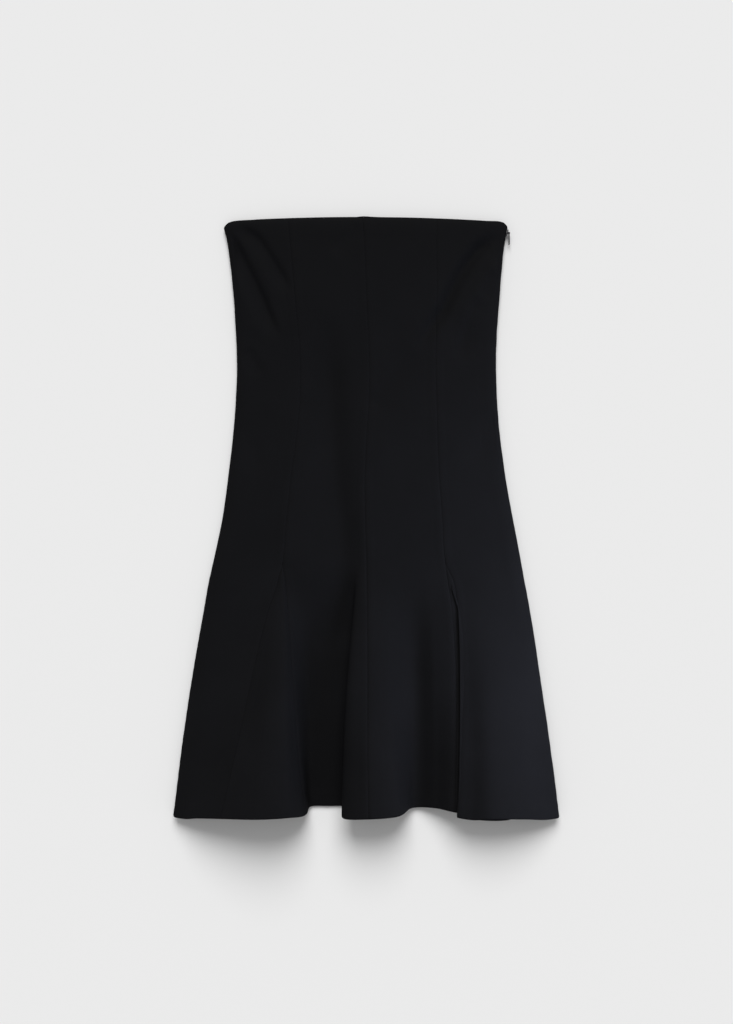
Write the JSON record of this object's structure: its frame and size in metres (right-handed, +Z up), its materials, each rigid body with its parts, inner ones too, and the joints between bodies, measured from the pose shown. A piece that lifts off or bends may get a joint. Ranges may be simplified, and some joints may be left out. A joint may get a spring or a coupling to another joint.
{
  "type": "strapless flared dress laid flat",
  "caption": "Strapless fitted mini dress in black crepe with princess seams, godets flaring at the hem and a side zip, laid flat on its back.",
  "frame": {"origin": "on the surface the dress lies on, below the middle of its footprint", "axes": "+Z up, out of the dress's front; +Y from the hem to the neckline; +X to the picture's right, which is the wearer's left"},
  "size_m": [0.5108, 0.7998, 0.0687],
  "materials": {
    "cloth": "matte black crepe with a soft low sheen",
    "zip_tape": "black woven tape with a closed coil",
    "zip_metal": "dark gunmetal plating, lightly worn"
  },
  "bodies": {
    "dress": {"front_side_left": "cloth", "front_centre_left": "cloth", "front_centre_right": "cloth", "front_side_right": "cloth", "godet_left": "cloth", "godet_right": "cloth", "back": "cloth", "zip_tape": "zip_tape", "zip_slider": "zip_metal"},
    "zip_pull": {"zip_pull": "zip_metal"}
  },
  "joints": [
    {"name": "pull_swing", "type": "hinge", "parent": "dress", "child": "zip_pull", "pos_m": [0.18936, 0.37941, 0.0048], "axis": [0, 0, 1], "range_deg": [0, 150]}
  ]
}
